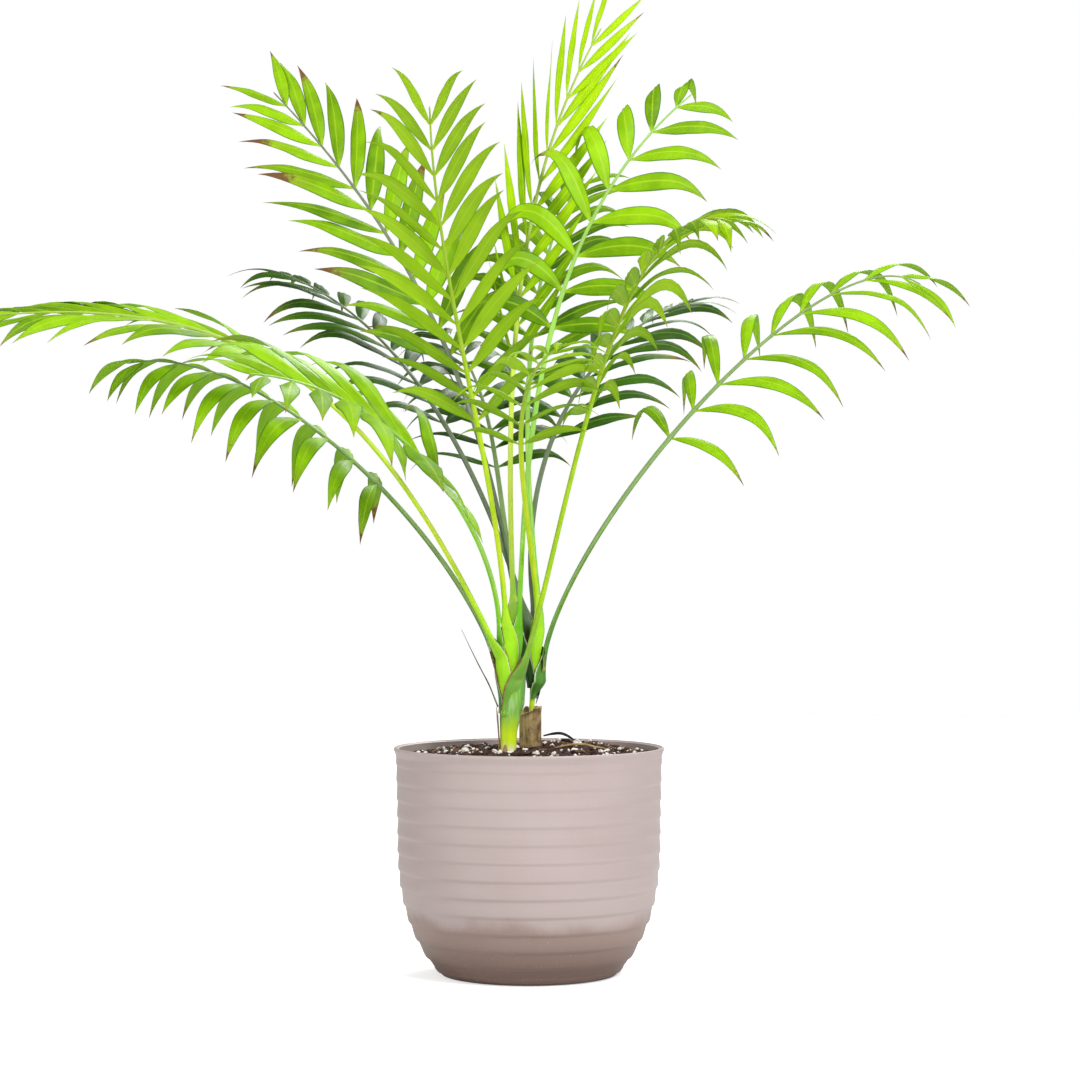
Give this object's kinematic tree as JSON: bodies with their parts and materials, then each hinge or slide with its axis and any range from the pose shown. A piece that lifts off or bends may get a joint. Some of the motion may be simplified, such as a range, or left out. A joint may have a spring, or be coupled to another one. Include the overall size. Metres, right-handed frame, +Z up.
{
  "type": "potted palm",
  "caption": "Young feather palm with arching fronds on two shoots, planted in dark potting mix in a round ribbed plastic pot.",
  "frame": {"origin": "centre of the pot's flat base, on the surface that it stands on", "axes": "+Z up along the pot's axis; -Y is the front, from which the long fronds spread left (-X) and right (+X)"},
  "size_m": [0.7578, 0.6509, 0.7675],
  "materials": {
    "taupe_plastic": "satin moulded plastic, pinkish taupe, ribbed",
    "potting_mix": "loose dark coco and bark mix, rough and matt",
    "green_stem": "smooth living stem and leaf sheath, satin",
    "torn_sheath": "green sheath with a dry brown ragged edge",
    "old_sheath": "dry brown fibrous sheath, matt",
    "dry_sheath": "papery dry sheath, matt",
    "leaf_fibre": "dry dark leaf fibre, matt",
    "dark_twig": "dark bark, matt",
    "tan_root": "tan root fibre, matt",
    "perlite": "white expanded perlite, rough",
    "bark": "brown bark chip, matt",
    "young_leaf": "living leaf, yellow green, satin",
    "green_leaf": "living leaf, mid green, satin",
    "dark_leaf": "living leaf, dark green, satin"
  },
  "bodies": {
    "root": {"bark_chip_1": "bark", "bark_chip_2": "bark", "bark_chip_3": "bark", "bark_chip_4": "bark", "bark_chip_5": "bark", "dark_twig": "dark_twig", "dry_sheath_strip": "dry_sheath", "frond_back_centre": "dark_leaf", "frond_back_high": "green_leaf", "frond_back_left": "dark_leaf", "frond_back_right": "dark_leaf", "frond_front_centre": "young_leaf", "frond_front_left": "green_leaf", "frond_front_right": "young_leaf", "frond_long_left": "green_leaf", "frond_long_right": "green_leaf", "frond_low_left": "green_leaf", "frond_spear": "young_leaf", "frond_tall_left": "green_leaf", "frond_tall_right": "green_leaf", "frond_young_front": "young_leaf", "old_sheath_sleeve": "old_sheath", "perlite_1": "perlite", "perlite_2": "perlite", "perlite_3": "perlite", "perlite_4": "perlite", "perlite_5": "perlite", "perlite_6": "perlite", "perlite_7": "perlite", "pot": "taupe_plastic", "potting_mix": "potting_mix", "shoot_front": "green_stem", "shoot_rear": "green_stem", "stray_fibre": "leaf_fibre", "tan_root": "tan_root", "torn_sheath": "torn_sheath"}
  },
  "joints": []
}
